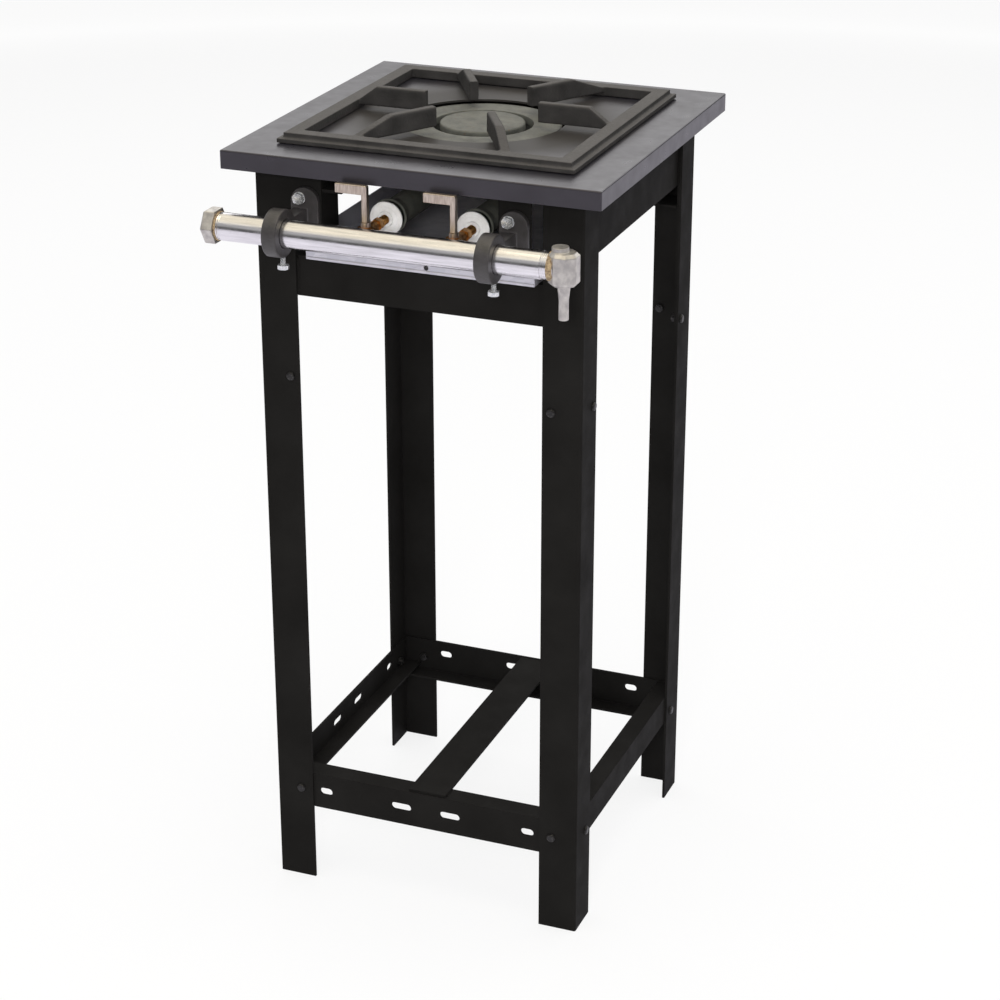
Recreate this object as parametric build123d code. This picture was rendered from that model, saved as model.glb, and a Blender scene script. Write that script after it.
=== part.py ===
from build123d import *
from math import cos, radians, sin
import os

os.makedirs("parts", exist_ok=True)

# All sizes are millimetres. While the pieces are made, +Z is up, z = 0 is the floor,
# x = 0 and y = 0 lie midway between the legs, and the gas rail is on the -Y side.

# Stand
stand_width = 332.0          # over the outside of the legs, both ways
leg_flange = 40.0
leg_wall = 2.5
leg_top_gap = 1.0            # below the worktop sheet
bolt_radius = 2.5
bolt_head_radius = 4.4
bolt_head_height = 2.6
nut_flats = 8.0
nut_height = 4.0
hole_clearance = 0.3
leg_bolt_inset = 31.0        # from the leg's outer corner
leg_bolt_rise = 19.0         # above the stub's lower end
shelf_bolt_inset = 27.0
fastener_gap = 0.02

# Shelf frame of rolled bars
bar_wall = 2.5
end_bar_web = 39.5           # front and rear bars
end_bar_flange = 22.0
side_bar_web = 31.0
side_bar_flange = 20.0
front_bar_low = 84.0
rear_bar_low = 87.0
side_bar_low = 95.0
slot_width = 8.0
long_slot = 22.0
short_slot = 14.0
long_slot_place = 27.0
short_slot_place = 112.0
front_slot_rise = 20.0       # above the bar's underside
rear_slot_rise = 24.5
side_slot_rise = 15.5
shelf_bolt_height = 105.0
middle_bar_width = 40.5
middle_bar_shift = 1.4       # towards +X
middle_bar_tab = 30.0

# Worktop and body
worktop_height = 791.0
worktop_width = 380.0
worktop_wall = 2.0
worktop_rim = 18.0
worktop_bend = 1.6
burner_opening = 82.0        # radius
stub_flange = 36.0
stub_wall = 2.5
stub_length = 244.0
apron_depth = 81.0
rear_apron_depth = 78.0
apron_wall = 1.5
crossbar_drop = 104.0        # worktop to the crossbars' top
crossbar_web = 40.5
rear_crossbar_width = 36.0
bracket_width = 32.0
bracket_return = 37.0
bracket_depth = 78.0
bracket_wall = 2.5

# Gas rail
rail_radius = 13.35
rail_wall = 2.65
rail_standoff = 52.5         # from the clamp brackets' front to the rail's axis
rail_drop = 63.7             # worktop to the rail's axis
rail_left_inset = 4.0        # from the worktop's edge
rail_right_inset = 30.0
thread_radius = 12.8
thread_left_length = 14.5
thread_right_length = 13.0
thread_gap = 0.05
cap_flats = 31.0
cap_length = 12.0
cap_end_wall = 3.0
cap_chamfer = 1.5
elbow_reach = 6.6            # rail's end to the elbow's upright axis
elbow_flats = 27.0
elbow_height = 31.0
elbow_drop = 16.2            # rail axis to the underside of the octagon
elbow_chamfer = 3.0
elbow_boss_radius = 8.0
elbow_boss_height = 4.4
elbow_boss_shift = 3.6       # from the tail's axis towards the rail
tail_shoulder_radius = 6.2
tail_shoulder_length = 14.0
tail_radius = 4.7
tail_length = 19.0
gas_way_radius = 3.0

# Rail clamps
clamp_left_inset = 10.4      # from the legs' inner edges to the ring's middle
clamp_right_inset = 30.8
bracket_shift = 3.8          # ring's middle to the bracket's, towards +X
clamp_width = 15.0
clamp_outer_radius = 23.0
clamp_bore_gap = 0.1
clamp_edge = 1.2
clamp_ear_width = 28.6
clamp_ear_shift = 4.8        # ring's middle to the ear's, towards +X
clamp_ear_wall = 6.0
clamp_ear_foot = 10.0        # below the rail axis
clamp_ear_rise = 17.0        # rail axis to the middle of the ear's round top
clamp_hole_rise = 21.0       # above the rail axis
clamp_arm_height = 22.0
clamp_bolt_radius = 3.0
clamp_bolt_flats = 10.0
clamp_bolt_head_height = 4.0
clamp_nut_height = 5.0
washer_radius = 6.0
washer_wall = 1.2
set_screw_radius = 2.5
set_screw_flats = 10.0
set_screw_head_height = 4.0
set_screw_neck = 7.4
set_screw_shift = 4.0        # ring's middle to the screw, towards +X

# Valves, jets and air discs
valve_places = {"left": -37.2, "right": 51.0}
valve_standoff = 23.0        # rail axis to stem axis
valve_rise = 2.7             # above the rail's axis
valve_barrel_radius = 7.4
valve_barrel_above = 5.0
valve_barrel_below = 10.5
valve_inlet_radius = 4.8
valve_inlet_bite = 2.0       # into the rail wall
valve_outlet_radius = 4.8
valve_outlet_reach = 22.0    # stem axis to the outlet face
plug_radius = 4.8
plug_gap = 0.05
plug_rise = 0.6
plug_stem_radius = 3.0
plug_nut_flats = 9.0
plug_nut_height = 2.4
spring_gap = 0.3
spring_room = 5.0
spring_wire = 0.5
spring_turns = 3.0
lever_hub_radius = 4.6
lever_hub_height = 4.4
lever_width = 5.5
lever_depth = 6.0
lever_arm_height = 9.0
lever_rise = 45.0            # valve axis to the lever's top
lever_reach = 29.2
lever_bend = 2.0
lever_edge = 0.8
jet_hex_flats = 11.0
jet_hex_length = 8.0
jet_spud_radius = 4.5
jet_spud_length = 22.0
jet_way_radius = 1.5
disc_radius = 16.5
disc_wall = 2.0
disc_hub_radius = 7.5
disc_hub_length = 5.0
disc_bore_gap = 0.05
disc_setback = 7.0           # from the mixing tube's mouth

# Burner
tube_radius = 14.0
tube_wall = 3.0
tube_bend = 18.0
tube_mouth_gap = 3.0         # jet tip to the tube's mouth
tube_mouth_radius = 17.5
tube_mouth_length = 14.0
burner_drop = 34.5           # worktop to the underside of both bowls
ring_outer = 76.0
ring_inner = 52.0
ring_height = 23.5
bowl_wall = 4.0
cap_thickness = 8.0
cap_edge = 2.0
cap_overhang = 2.0
ring_port_count = 32
centre_port_count = 18
port_width = 2.4
port_depth = 3.0
centre_radius = 38.0
centre_cap_radius = 42.0
centre_height = 25.5
cap_spigot = 3.0
cap_seat_gap = 0.3
lug_radius = 8.0
lug_thickness = 6.0
lug_x = 86.0
lug_y = 31.0
support_width = 20.0
support_wall = 3.0
strap_width = 32.0
strap_gap = 0.3
burner_screw_radius = 2.5
burner_screw_head_radius = 4.5
burner_screw_head_height = 3.0

# Drip tray
tray_left_gap = 13.3         # to the legs' inner edges
tray_right_gap = 6.7
tray_front_reach = 4.0       # proud of the legs
tray_back_inset = 6.0
tray_height = 22.5
tray_wall = 1.0
tray_gap = 0.3
tray_hole_radius = 2.5
tray_hole_x = 11.0
tray_hole_rise = 5.5

# Grate
grate_width = 300.0
grate_bar = 20.0
grate_height = 10.0
grate_step = 5.0
grate_step_height = 5.0
grate_gap = 0.3
finger_count = 6
finger_wall = 9.5
finger_tip_radius = 59.0
finger_flat = 52.0
finger_rise = 14.0           # above the frame
finger_drop = 4.0            # underside above the frame's underside
finger_edge = 1.5

# Worked out from the sizes above
half = stand_width / 2
leg_inner = half - leg_wall
leg_edge = half - leg_flange
stub_inner = leg_inner - stub_wall
sheet_under = worktop_height - worktop_wall
apron_low = sheet_under - apron_depth
rear_apron_low = sheet_under - rear_apron_depth
front_bar_top = front_bar_low + end_bar_web
leg_bolt_height = sheet_under - stub_length + leg_bolt_rise
crossbar_top = worktop_height - crossbar_drop
crossbar_low = crossbar_top - crossbar_web
bracket_back = -half
bracket_front = bracket_back - bracket_wall
bracket_low = sheet_under - bracket_depth
rail_y = bracket_front - rail_standoff
rail_z = worktop_height - rail_drop
rail_left = -worktop_width / 2 + rail_left_inset
rail_right = worktop_width / 2 - rail_right_inset
cap_left = rail_left - cap_end_wall
elbow_x = rail_right + elbow_reach
clamp_places = {"left": clamp_left_inset - leg_edge, "right": leg_edge - clamp_right_inset}
valve_y = rail_y + valve_standoff
valve_z = rail_z + valve_rise
lever_top = valve_z + lever_rise
tail_tip = rail_z - elbow_drop - tail_shoulder_length - tail_length
outlet_y = valve_y + valve_outlet_reach
tube_mouth_y = outlet_y + jet_hex_length + jet_spud_length + tube_mouth_gap
disc_back = tube_mouth_y - disc_setback
burner_seat = worktop_height - burner_drop
tray_low = crossbar_top + tray_gap
ring_top = burner_seat + ring_height
centre_top = burner_seat + centre_height
grate_low = worktop_height + grate_gap
finger_top = grate_low + grate_height + finger_rise

# The row's origin is the middle of the whole range's footprint, on the floor.
x_low = min(-worktop_width / 2, cap_left)
x_high = max(worktop_width / 2, elbow_x + elbow_flats / 2)
y_low = rail_y - clamp_outer_radius
y_high = worktop_width / 2
to_row = Location((-(x_low + x_high) / 2, -(y_low + y_high) / 2, 0))


def save(node, shape):
    """Writes one sub-part in the row's frame."""
    export_step(to_row * shape, f"parts/{node}.step")


def block(x0, x1, y0, y1, z0, z1):
    """A rectangular solid between two corners, given in any order."""
    middle = Pos((x0 + x1) / 2, (y0 + y1) / 2, (z0 + z1) / 2)
    return middle * Box(abs(x1 - x0), abs(y1 - y0), abs(z1 - z0))


def rod(start, direction, length, radius):
    """A round bar from a point along a direction."""
    seat = (Align.CENTER, Align.CENTER, Align.MIN)
    return Plane(origin=start, z_dir=direction) * Cylinder(radius, length, align=seat)


def prism(start, direction, length, flats, sides=6):
    """A regular prism, its size given across the flats, with a flat towards its plane's x."""
    outline = RegularPolygon(flats / 2, sides, major_radius=False, rotation=180 / sides)
    return extrude(Plane(origin=start, z_dir=direction) * outline, length)


def group(solids):
    """Separate solids kept together in one node."""
    return Compound(solids)


corners = {
    "front_left": (-1, -1),
    "front_right": (1, -1),
    "rear_left": (-1, 1),
    "rear_right": (1, 1),
}


def fastener_axes(inset, height):
    """Centre and outward direction of a leg's two bolts, for every leg."""
    place = half - inset
    axes = []
    for sx, sy in corners.values():
        axes.append(((sx * place, sy * half, height), (0, sy, 0)))
        axes.append(((sx * half, sy * place, height), (sx, 0, 0)))
    return axes


leg_bolt_axes = fastener_axes(leg_bolt_inset, leg_bolt_height)
shelf_bolt_axes = fastener_axes(shelf_bolt_inset, shelf_bolt_height)


def inward(axis, depth):
    """The point at a depth behind a bolt's seat, and the direction into the stand."""
    (x, y, z), (dx, dy, dz) = axis
    return (x - dx * depth, y - dy * depth, z), (-dx, -dy, 0)


def drill(shape, axes, radius, depth):
    """Takes bolt holes out of a sheet, from just outside the legs inwards."""
    for axis in axes:
        start, direction = inward(axis, -1.0)
        shape -= rod(start, direction, depth + 1.0, radius)
    return shape


def angle_post(sx, sy, outer, flange, wall, low, high):
    """An upright angle iron in one corner, its bend outwards."""
    post = block(sx * outer, sx * (outer - flange), sy * outer, sy * (outer - wall), low, high)
    post += block(sx * outer, sx * (outer - wall), sy * outer, sy * (outer - flange), low, high)
    bend = post.edges().filter_by(Axis.Z).sort_by_distance((sx * outer, sy * outer, (low + high) / 2))
    return fillet(bend[0], wall * 0.8)


# Legs: four angle irons, open towards the middle of the stand.
hole_radius = bolt_radius + hole_clearance
stack = leg_wall + stub_wall + bar_wall
for corner, (sx, sy) in corners.items():
    leg = angle_post(sx, sy, half, leg_flange, leg_wall, 0, sheet_under - leg_top_gap)
    leg = drill(leg, leg_bolt_axes + shelf_bolt_axes, hole_radius, stack)
    save(f"leg_{corner}", leg)

# Stubs: short angle irons welded under the worktop, nested inside the legs.
for corner, (sx, sy) in corners.items():
    stub = angle_post(sx, sy, leg_inner, stub_flange, stub_wall, sheet_under - stub_length, sheet_under)
    stub = drill(stub, leg_bolt_axes, hole_radius, stack)
    save(f"stub_{corner}", stub)


def bolts(axes, grip):
    """Round-headed bolts with a shank that goes through and past its nut."""
    made = []
    for axis in axes:
        seat, direction = inward(axis, -fastener_gap)
        outward = (-direction[0], -direction[1], 0)
        head = rod(seat, outward, bolt_head_height, bolt_head_radius)
        head = fillet(head.edges().sort_by(Axis(seat, outward))[-1], bolt_head_height * 0.7)
        made.append(head + rod(seat, direction, grip + nut_height + 1.0, bolt_radius))
    return group(made)


def nuts(axes, depth):
    """Hexagon nuts inside the stand, on the bolts' threads."""
    made = []
    for axis in axes:
        seat, direction = inward(axis, depth + fastener_gap)
        nut = prism(seat, direction, nut_height, nut_flats)
        made.append(nut - rod(seat, direction, nut_height, bolt_radius + thread_gap))
    return group(made)


leg_grip = leg_wall + stub_wall
shelf_grip = leg_wall + bar_wall
save("leg_bolts", bolts(leg_bolt_axes, leg_grip))
save("leg_nuts", nuts(leg_bolt_axes, leg_grip))
save("shelf_bolts", bolts(shelf_bolt_axes, shelf_grip))
save("shelf_nuts", nuts(shelf_bolt_axes, shelf_grip))


def shelf_bar(web_length, flange_length, low, web, flange, flange_low):
    """An angle bar along X with its web's outer face on y = 0 and the flange towards +Y."""
    bar = block(-web_length / 2, web_length / 2, 0, bar_wall, low, low + web)
    return bar + block(-flange_length / 2, flange_length / 2, 0, flange, flange_low, flange_low + bar_wall)


def slotted(bar, height):
    """Cuts two long and two short slots through a bar's web."""
    for place, length in ((long_slot_place, long_slot), (short_slot_place, short_slot)):
        for side in (-1, 1):
            plane = Plane(origin=(side * place, 0, height), z_dir=(0, 1, 0), x_dir=(1, 0, 0))
            bar -= extrude(plane * SlotOverall(length, slot_width), bar_wall)
    return bar


# Shelf frame: four bars bolted inside the legs. The front and right bars carry their flange on
# top, the rear and left bars underneath. The right bar is plain and the others are slotted.
end_length = 2 * leg_inner
side_length = end_length - 2 * bar_wall
front_flange_low = front_bar_top - bar_wall
right_flange_low = side_bar_low + side_bar_web - bar_wall
front_bar = shelf_bar(end_length, side_length, front_bar_low, end_bar_web, end_bar_flange, front_flange_low)
right_bar = shelf_bar(side_length, side_length, side_bar_low, side_bar_web, side_bar_flange, right_flange_low)
rear_bar = shelf_bar(end_length, side_length, rear_bar_low, end_bar_web, end_bar_flange, rear_bar_low)
left_bar = shelf_bar(side_length, side_length, side_bar_low, side_bar_web, side_bar_flange, side_bar_low)
shelf_bars = {
    "front": slotted(front_bar, front_bar_low + front_slot_rise),
    "right": right_bar,
    "rear": slotted(rear_bar, rear_bar_low + rear_slot_rise),
    "left": slotted(left_bar, side_bar_low + side_slot_rise),
}
for quarter, (side, bar) in enumerate(shelf_bars.items()):
    placed = Rot(0, 0, 90 * quarter) * Pos(0, -leg_inner, 0) * bar
    save(f"shelf_bar_{side}", drill(placed, shelf_bolt_axes, hole_radius, stack))

# Middle bar: a flat that lies on the front bar and turns down against the rear bar.
rear_web = leg_inner - bar_wall
middle_left = middle_bar_shift - middle_bar_width / 2
middle_right = middle_bar_shift + middle_bar_width / 2
middle_top = front_bar_top + bar_wall
tab_low = middle_top - middle_bar_tab
middle_bar = block(middle_left, middle_right, -rear_web, rear_web, front_bar_top, middle_top)
middle_bar += block(middle_left, middle_right, rear_web - bar_wall, rear_web, tab_low, middle_top)
save("shelf_bar_middle", middle_bar)

# Worktop: a folded sheet with a deep rim and a round burner opening.
top_half = worktop_width / 2
worktop = block(-top_half, top_half, -top_half, top_half, worktop_height - worktop_rim, worktop_height)
worktop = fillet(worktop.edges().filter_by(Axis.Z), worktop_bend)
worktop = fillet(worktop.faces().sort_by(Axis.Z)[-1].edges(), worktop_bend)
inside = top_half - worktop_wall
worktop -= block(-inside, inside, -inside, inside, worktop_height - worktop_rim, sheet_under)
worktop -= rod((0, 0, sheet_under), (0, 0, 1), worktop_wall, burner_opening)
save("worktop", worktop)

# Aprons: plain sheets welded inside the stubs and under the worktop.
side_in = stub_inner - apron_wall
save("apron_left", block(-stub_inner, -side_in, -stub_inner, stub_inner, apron_low, sheet_under))
save("apron_right", block(stub_inner, side_in, -stub_inner, stub_inner, apron_low, sheet_under))
save("apron_rear", block(-side_in, side_in, stub_inner, side_in, rear_apron_low, sheet_under))


# Crossbars between the stubs, which carry the drip tray: an angle bar in front with its flange
# on top, and a flat bar behind.
flat_low = crossbar_top - bar_wall
crossbar = block(-stub_inner, stub_inner, -stub_inner, bar_wall - stub_inner, crossbar_low, crossbar_top)
crossbar += block(-stub_inner, stub_inner, -stub_inner, end_bar_flange - stub_inner, flat_low, crossbar_top)
save("crossbar_front", crossbar)
rear_crossbar_front = stub_inner - rear_crossbar_width
save("crossbar_rear", block(-stub_inner, stub_inner, rear_crossbar_front, stub_inner, flat_low, crossbar_top))


# Clamp brackets: angles hung under the worktop in front of the legs, each with its return on the
# inner edge.
clamp_hole_z = rail_z + clamp_hole_rise
clamp_hole_radius = clamp_bolt_radius + hole_clearance
for side, clamp_x in clamp_places.items():
    inner = 1 if side == "left" else -1
    centre = clamp_x + bracket_shift
    inner_edge = centre + inner * bracket_width / 2
    bracket = block(
        centre - bracket_width / 2, centre + bracket_width / 2,
        bracket_front, bracket_back, bracket_low, sheet_under,
    )
    bracket += block(
        inner_edge, inner_edge - inner * bracket_wall,
        bracket_front, bracket_front + bracket_return, bracket_low, sheet_under,
    )
    bracket -= rod((clamp_x, bracket_front, clamp_hole_z), (0, 1, 0), bracket_wall, clamp_hole_radius)
    save(f"clamp_bracket_{side}", bracket)

# Gas rail: a pipe threaded at both ends and drilled for the valves.
left_shoulder = rail_left + thread_left_length
right_shoulder = rail_right - thread_right_length
rail = rod((left_shoulder, rail_y, rail_z), (1, 0, 0), right_shoulder - left_shoulder, rail_radius)
rail += rod((rail_left, rail_y, rail_z), (1, 0, 0), rail_right - rail_left, thread_radius)
rail -= rod((rail_left, rail_y, rail_z), (1, 0, 0), rail_right - rail_left, rail_radius - rail_wall)
for valve_x in valve_places.values():
    rail -= rod((valve_x, rail_y, valve_z), (0, 1, 0), rail_radius + 1.0, valve_inlet_radius + thread_gap)
save("gas_rail", rail)

# End cap on the rail's left end.
end_cap = prism((cap_left, rail_y, rail_z), (1, 0, 0), cap_length, cap_flats)
end_cap = chamfer(end_cap.edges().group_by(Axis.X)[0], cap_chamfer)
end_cap -= rod((rail_left, rail_y, rail_z), (1, 0, 0), cap_length, thread_radius + thread_gap)
save("rail_end_cap", end_cap)

# Hose elbow: an octagonal casting screwed on the rail, with a smooth tail for the hose.
octagon_low = rail_z - elbow_drop
elbow = prism((elbow_x, rail_y, octagon_low), (0, 0, 1), elbow_height, elbow_flats, 8)
rims = elbow.edges().group_by(Axis.Z)
elbow = chamfer(rims[0] + rims[-1], elbow_chamfer)
boss_x = elbow_x - elbow_boss_shift
elbow += rod((boss_x, rail_y, octagon_low), (0, 0, 1), elbow_height + elbow_boss_height, elbow_boss_radius)
shoulder_top = Plane(origin=(elbow_x, rail_y, octagon_low), z_dir=(0, 0, -1))
shoulder_foot = shoulder_top.offset(tail_shoulder_length)
elbow += loft([shoulder_top * Circle(tail_shoulder_radius), shoulder_foot * Circle(tail_radius)])
elbow += rod((elbow_x, rail_y, octagon_low), (0, 0, -1), tail_shoulder_length + tail_length, tail_radius)
elbow -= rod((elbow_x, rail_y, tail_tip), (0, 0, 1), rail_z - tail_tip, gas_way_radius)
socket_start = elbow_x - elbow_flats / 2
elbow -= rod((socket_start, rail_y, rail_z), (1, 0, 0), rail_right - socket_start, thread_radius + thread_gap)
elbow -= rod((rail_right, rail_y, rail_z), (1, 0, 0), elbow_x - rail_right, gas_way_radius)
save("hose_elbow", elbow)


def rail_clamp(clamp_x):
    """A cast ring round the rail, with an arm and an ear that bolts to the bracket."""
    ring = rod((clamp_x - clamp_width / 2, rail_y, rail_z), (1, 0, 0), clamp_width, clamp_outer_radius)
    ring = fillet(ring.edges(), clamp_edge)
    ear_face = bracket_front - clamp_ear_wall
    arm = block(
        clamp_x - clamp_width / 2, clamp_x + clamp_width / 2, rail_y, ear_face,
        rail_z - clamp_arm_height / 2, rail_z + clamp_arm_height / 2,
    )
    side = clamp_ear_width / 2
    ear_x = clamp_x + clamp_ear_shift
    ear_z = rail_z + clamp_ear_rise
    ear = block(ear_x - side, ear_x + side, ear_face, bracket_front, rail_z - clamp_ear_foot, ear_z)
    ear += rod((ear_x, ear_face, ear_z), (0, 1, 0), clamp_ear_wall, side)
    clamp = ring + arm + ear
    bore = rail_radius + clamp_bore_gap
    clamp -= rod((clamp_x - clamp_width, rail_y, rail_z), (1, 0, 0), 2 * clamp_width, bore)
    clamp -= rod((clamp_x, ear_face, clamp_hole_z), (0, 1, 0), clamp_ear_wall, clamp_hole_radius)
    tapped = set_screw_radius + thread_gap
    return clamp - rod((clamp_x + set_screw_shift, rail_y, rail_z), (0, 0, -1), clamp_outer_radius + 1.0, tapped)


for side, clamp_x in clamp_places.items():
    save(f"rail_clamp_{side}", rail_clamp(clamp_x))

# Clamp fasteners: a bolt with washer and nut through each ear, and a set screw under each ring.
ear_bolts = []
ear_nuts = []
set_screws = []
clamp_grip = clamp_ear_wall + bracket_wall
for clamp_x in clamp_places.values():
    seat = (clamp_x, bracket_front - clamp_ear_wall - fastener_gap, clamp_hole_z)
    head = prism(seat, (0, -1, 0), washer_wall + clamp_bolt_head_height, clamp_bolt_flats)
    head += rod(seat, (0, -1, 0), washer_wall, washer_radius)
    ear_bolts.append(head + rod(seat, (0, 1, 0), clamp_grip + clamp_nut_height + 1.5, clamp_bolt_radius))
    nut_seat = (clamp_x, bracket_back + fastener_gap, clamp_hole_z)
    nut = prism(nut_seat, (0, 1, 0), clamp_nut_height, clamp_bolt_flats)
    ear_nuts.append(nut - rod(nut_seat, (0, 1, 0), clamp_nut_height, clamp_bolt_radius + thread_gap))
    neck = rail_z - clamp_outer_radius - set_screw_neck
    screw_top = rail_z - rail_radius - fastener_gap
    foot = (clamp_x + set_screw_shift, rail_y, neck)
    shank = rod(foot, (0, 0, 1), screw_top - neck, set_screw_radius)
    set_screws.append(shank + prism(foot, (0, 0, -1), set_screw_head_height, set_screw_flats))
save("clamp_bolts", group(ear_bolts))
save("clamp_nuts", group(ear_nuts))
save("clamp_set_screws", group(set_screws))


def valve_body(x):
    """A brass body with an upright tapered seat, an inlet in the rail and an outlet behind."""
    barrel_low = valve_z - valve_barrel_below
    barrel_height = valve_barrel_below + valve_barrel_above
    body = rod((x, valve_y, barrel_low), (0, 0, 1), barrel_height, valve_barrel_radius)
    inlet_y = rail_y + rail_radius - valve_inlet_bite
    body += rod((x, inlet_y, valve_z), (0, 1, 0), valve_y - inlet_y, valve_inlet_radius)
    body += rod((x, valve_y, valve_z), (0, 1, 0), valve_outlet_reach, valve_outlet_radius)
    body -= rod((x, valve_y, barrel_low), (0, 0, 1), barrel_height, plug_radius + plug_gap)
    body -= rod((x, inlet_y, valve_z), (0, 1, 0), outlet_y - inlet_y, gas_way_radius)
    return body


def valve_plug(x):
    """The turning plug: a ported barrel with a stem below for its spring and nut."""
    plug_low = valve_z - valve_barrel_below
    plug_top = valve_z + valve_barrel_above + plug_rise
    plug = rod((x, valve_y, plug_low), (0, 0, 1), plug_top - plug_low, plug_radius)
    plug -= rod((x - plug_radius, valve_y, valve_z), (1, 0, 0), 2 * plug_radius, gas_way_radius)
    stem = spring_room + plug_nut_height
    return plug + rod((x, valve_y, plug_low), (0, 0, -1), stem, plug_stem_radius)


def plug_nut(x):
    """The nut that holds the plug and its spring from below."""
    top = (x, valve_y, valve_z - valve_barrel_below - spring_room)
    nut = prism(top, (0, 0, -1), plug_nut_height, plug_nut_flats)
    return nut - rod(top, (0, 0, -1), plug_nut_height, plug_stem_radius + thread_gap)


def plug_spring(x):
    """A short coil spring between the body and the nut."""
    height = spring_room - 2 * spring_gap - 2 * spring_wire
    low = valve_z - valve_barrel_below - spring_room + spring_gap + spring_wire
    coil_radius = plug_stem_radius + spring_gap + spring_wire
    coil = Helix(height / spring_turns, height, coil_radius)
    section = Plane(origin=coil @ 0, z_dir=coil % 0) * Circle(spring_wire)
    return Pos(x, valve_y, low) * sweep(section, coil, is_frenet=True)


def lever(x):
    """A flat bar bent once, on a round hub: down to the plug, and to the left while the gas is shut."""
    side = lever_width / 2
    front = valve_y - lever_depth / 2
    back = valve_y + lever_depth / 2
    hub_low = valve_z + valve_barrel_above + plug_rise
    foot = hub_low + lever_hub_height
    bar = block(x - side, x + side, front, back, foot, lever_top)
    bar += block(x + side, x - lever_reach, front, back, lever_top - lever_arm_height, lever_top)
    outer = bar.edges().filter_by(Axis.Y).sort_by_distance((x + side, valve_y, lever_top))[0]
    bar = fillet(outer, lever_bend)
    tip = bar.faces().sort_by(Axis.X)[0]
    bar = fillet(tip.edges() + bar.edges().filter_by(Axis.X) + bar.edges().filter_by(Axis.Z), lever_edge)
    return bar + rod((x, valve_y, hub_low), (0, 0, 1), lever_hub_height, lever_hub_radius)


def jet(x):
    """A brass jet: hexagon, and a threaded spud that carries the air disc."""
    body = prism((x, outlet_y, valve_z), (0, 1, 0), jet_hex_length, jet_hex_flats)
    body += rod((x, outlet_y + jet_hex_length, valve_z), (0, 1, 0), jet_spud_length, jet_spud_radius)
    length = jet_hex_length + jet_spud_length
    return body - rod((x, outlet_y, valve_z), (0, 1, 0), length, jet_way_radius)


def air_disc(x):
    """A round plate on a hub, which screws along the jet to set the primary air."""
    disc = rod((x, disc_back, valve_z), (0, -1, 0), disc_wall, disc_radius)
    disc += rod((x, disc_back, valve_z), (0, -1, 0), disc_hub_length, disc_hub_radius)
    return disc - rod((x, disc_back, valve_z), (0, -1, 0), disc_hub_length, jet_spud_radius + disc_bore_gap)


for side, valve_x in valve_places.items():
    save(f"valve_body_{side}", valve_body(valve_x))
    save(f"valve_plug_{side}", valve_plug(valve_x))
    save(f"plug_nut_{side}", plug_nut(valve_x))
    save(f"plug_spring_{side}", plug_spring(valve_x))
    save(f"lever_{side}", lever(valve_x))
    save(f"jet_{side}", jet(valve_x))
    save(f"air_disc_{side}", air_disc(valve_x))


def mixing_tube(corner_points, radius):
    """A tube along straight runs joined by arcs of the casting's bend radius."""
    path = FilletPolyline(*corner_points, radius=tube_bend)
    section = Plane(origin=path @ 0, z_dir=path % 0) * Circle(radius)
    return sweep(section, path)


def mouth(x, reach, end_radius, tube):
    """The bell at a tube's mouth, for the outer skin or for the bore."""
    wide = Plane(origin=(x, tube_mouth_y, valve_z), z_dir=(0, 1, 0)) * Circle(end_radius)
    narrow = Plane(origin=(x, tube_mouth_y + reach, valve_z), z_dir=(0, 1, 0)) * Circle(tube)
    return loft([wide, narrow])


def burner_bowl(corner_points, outer, inner, height):
    """A cast bowl, open on top, with its mixing tube joined underneath."""
    x = corner_points[0][0]
    bore = tube_radius - tube_wall
    body = rod((0, 0, burner_seat), (0, 0, 1), height, outer)
    if inner > 0:
        body -= rod((0, 0, burner_seat), (0, 0, 1), height, inner)
    body += mixing_tube(corner_points, tube_radius)
    body += mouth(x, tube_mouth_length, tube_mouth_radius, tube_radius)
    channel = rod((0, 0, burner_seat + bowl_wall), (0, 0, 1), height, outer - bowl_wall)
    if inner > 0:
        channel -= rod((0, 0, burner_seat + bowl_wall), (0, 0, 1), height, inner + bowl_wall)
    body -= channel
    body -= mixing_tube(corner_points, bore)
    return body - mouth(x, tube_mouth_length, tube_mouth_radius - tube_wall, bore)


def ports(shape, radius, seat, count):
    """Flame ports: radial slots cut across the underside of a cap's rim."""
    for number in range(count):
        turn = 360 / count * number
        cut = block(radius - 2 * bowl_wall, radius + 1, -port_width / 2, port_width / 2, seat, seat + port_depth)
        shape -= Rot(0, 0, turn) * cut
    return shape


left_tube_x = valve_places["left"]
right_tube_x = valve_places["right"]
tube_end = burner_seat + bowl_wall
ring_middle = (ring_outer + ring_inner) / 2
left_tube_y = -((ring_middle**2 - left_tube_x**2) ** 0.5)

# Ring burner: an annular bowl fed by the left mixing tube, with lugs on the support rails.
ring_path = [
    (left_tube_x, tube_mouth_y, valve_z),
    (left_tube_x, left_tube_y, valve_z),
    (left_tube_x, left_tube_y, tube_end),
]
ring_bowl = burner_bowl(ring_path, ring_outer, ring_inner, ring_height)
lug_places = [(sx * lug_x, sy * lug_y) for sx, sy in corners.values()]
lug_root = ring_outer - bowl_wall / 2
for x, y in lug_places:
    side = x / abs(x)
    reach = (lug_root**2 - (abs(y) + lug_radius) ** 2) ** 0.5
    ring_bowl += block(side * reach, x, y - lug_radius, y + lug_radius, burner_seat, burner_seat + lug_thickness)
    ring_bowl += rod((x, y, burner_seat), (0, 0, 1), lug_thickness, lug_radius)
for x, y in lug_places:
    ring_bowl -= rod((x, y, burner_seat), (0, 0, 1), lug_thickness, burner_screw_radius + hole_clearance)
save("burner_ring", ring_bowl)

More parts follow.
